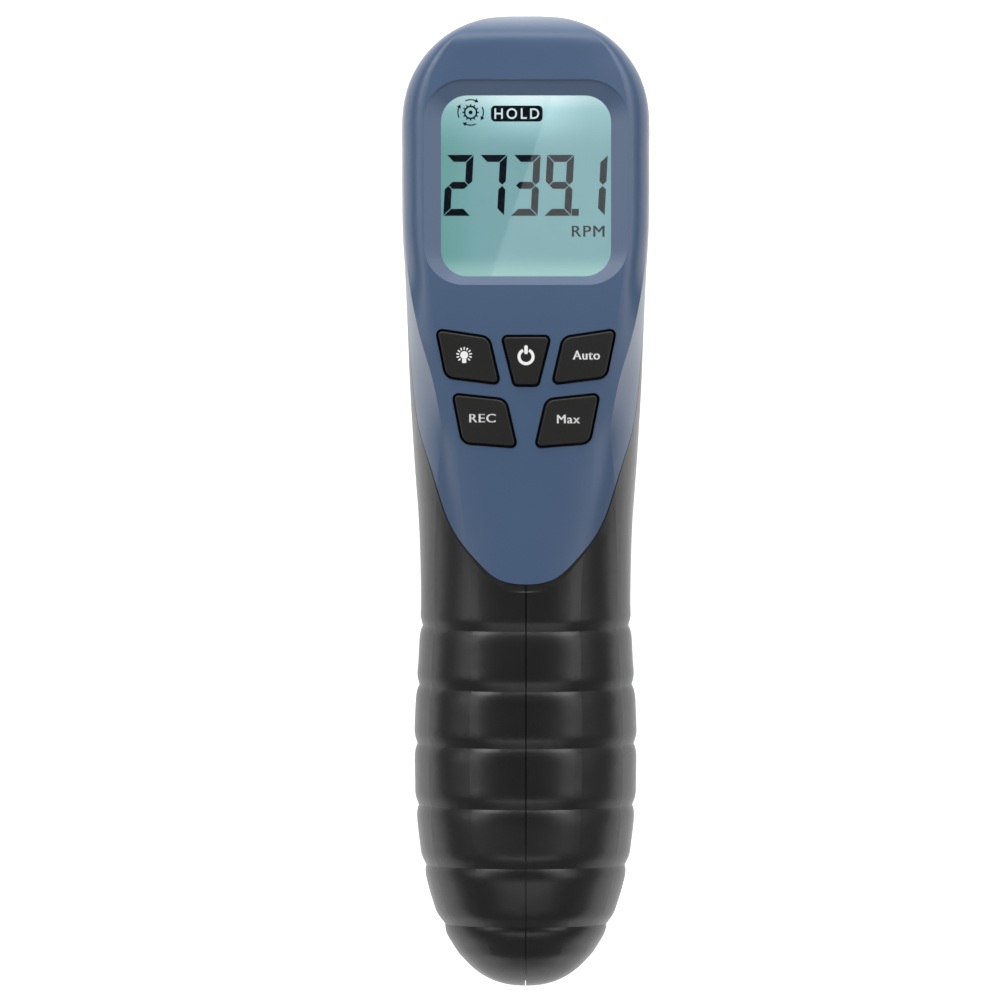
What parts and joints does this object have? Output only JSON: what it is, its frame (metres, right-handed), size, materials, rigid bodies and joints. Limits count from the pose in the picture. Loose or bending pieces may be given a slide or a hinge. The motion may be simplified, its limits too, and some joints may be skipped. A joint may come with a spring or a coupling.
{
  "type": "digital tachometer",
  "caption": "Hand-held optical tachometer with a ribbed black grip, a blue face with a window and keys, a trigger and a lens nose.",
  "frame": {"origin": "middle of the footprint on the floor, under the nose and the heel", "axes": "+Y from the heel to the tip of the head, +Z out of the display, +X to the right as read"},
  "size_m": [0.0534, 0.2097, 0.0524],
  "materials": {
    "blue_shell": "satin moulded ABS",
    "black_shell": "satin moulded ABS",
    "key_plastic": "satin moulded ABS",
    "clear_lens": "polished clear acrylic",
    "optic_glass": "polished filter glass",
    "lcd_glass": "polished glass over a lit diffuser",
    "lcd_ink": "dark liquid-crystal segments",
    "foam": "closed-cell foam",
    "silicone": "moulded silicone",
    "white_plastic": "moulded ABS",
    "black_plastic": "moulded ABS",
    "board": "glass-fibre board with solder resist",
    "chip": "moulded epoxy",
    "ribbon": "polyimide film",
    "steel": "zinc-plated steel",
    "brass": "turned brass",
    "lead_wire": "PVC-insulated wire",
    "battery_case": "printed steel case"
  },
  "bodies": {
    "housing": {"face_cover": "blue_shell", "left_body_half": "black_shell", "right_body_half": "black_shell", "nose_bezel": "black_shell", "display_lens": "clear_lens", "laser_lens": "clear_lens", "receiver_lens": "optic_glass", "lcd_glass": "lcd_glass", "lcd_segments": "lcd_ink", "lens_gasket": "foam", "upper_contact_strip": "silicone", "lower_contact_strip": "silicone", "keypad_mat": "silicone", "backlight_guide": "white_plastic", "lcd_holder": "white_plastic", "optics_holder": "black_plastic", "battery_snap": "black_plastic", "trigger_switch": "black_plastic", "main_board": "board", "sensor_board": "board", "processor_chip": "chip", "receiver_sensor": "chip", "quartz_crystal": "steel", "board_screws": "steel", "body_screws": "steel", "hinge_pin": "steel", "trigger_pin": "steel", "trigger_spring": "steel", "laser_module": "brass", "sensor_ribbon": "ribbon", "laser_leads": "lead_wire", "battery_leads": "lead_wire", "battery": "battery_case"},
    "backlight_button": {"key_backlight": "key_plastic"},
    "power_button": {"key_power": "key_plastic"},
    "auto_button": {"key_auto": "key_plastic"},
    "record_button": {"key_record": "key_plastic"},
    "max_button": {"key_max": "key_plastic"},
    "trigger_lever": {"trigger": "black_plastic"},
    "switch_pin": {"switch_plunger": "white_plastic"},
    "door": {"battery_door": "black_shell", "battery_pad": "foam"}
  },
  "joints": [
    {"name": "backlight_press", "type": "slide", "parent": "housing", "child": "backlight_button", "axis": [0, 0, -1], "range_m": [0, 0.0008], "stiffness_N_per_m": 800, "springref_m": -0.001},
    {"name": "power_press", "type": "slide", "parent": "housing", "child": "power_button", "axis": [0, 0, -1], "range_m": [0, 0.0008], "stiffness_N_per_m": 800, "springref_m": -0.001},
    {"name": "auto_press", "type": "slide", "parent": "housing", "child": "auto_button", "axis": [0, 0, -1], "range_m": [0, 0.0008], "stiffness_N_per_m": 800, "springref_m": -0.001},
    {"name": "record_press", "type": "slide", "parent": "housing", "child": "record_button", "axis": [0, 0, -1], "range_m": [0, 0.0008], "stiffness_N_per_m": 800, "springref_m": -0.001},
    {"name": "max_press", "type": "slide", "parent": "housing", "child": "max_button", "axis": [0, 0, -1], "range_m": [0, 0.0008], "stiffness_N_per_m": 800, "springref_m": -0.001},
    {"name": "trigger_pull", "type": "hinge", "parent": "housing", "child": "trigger_lever", "pos_m": [0, 0.036, 0.02], "axis": [-1, 0, 0], "range_deg": [0, 6], "stiffness_Nm_per_rad": 0.3, "springref_deg": -8.59, "deforming": ["trigger_spring"]},
    {"name": "switch_press", "type": "slide", "parent": "housing", "child": "switch_pin", "axis": [0, 0, 1], "range_m": [0, 0.00131]},
    {"name": "door_swing", "type": "hinge", "parent": "housing", "child": "door", "pos_m": [0, -0.0775, 0.004], "axis": [-1, 0, 0], "range_deg": [0, 95]}
  ],
  "couplings": [
    {"joint": "switch_press", "follows": "trigger_pull", "m_per_rad": 0.0125}
  ]
}
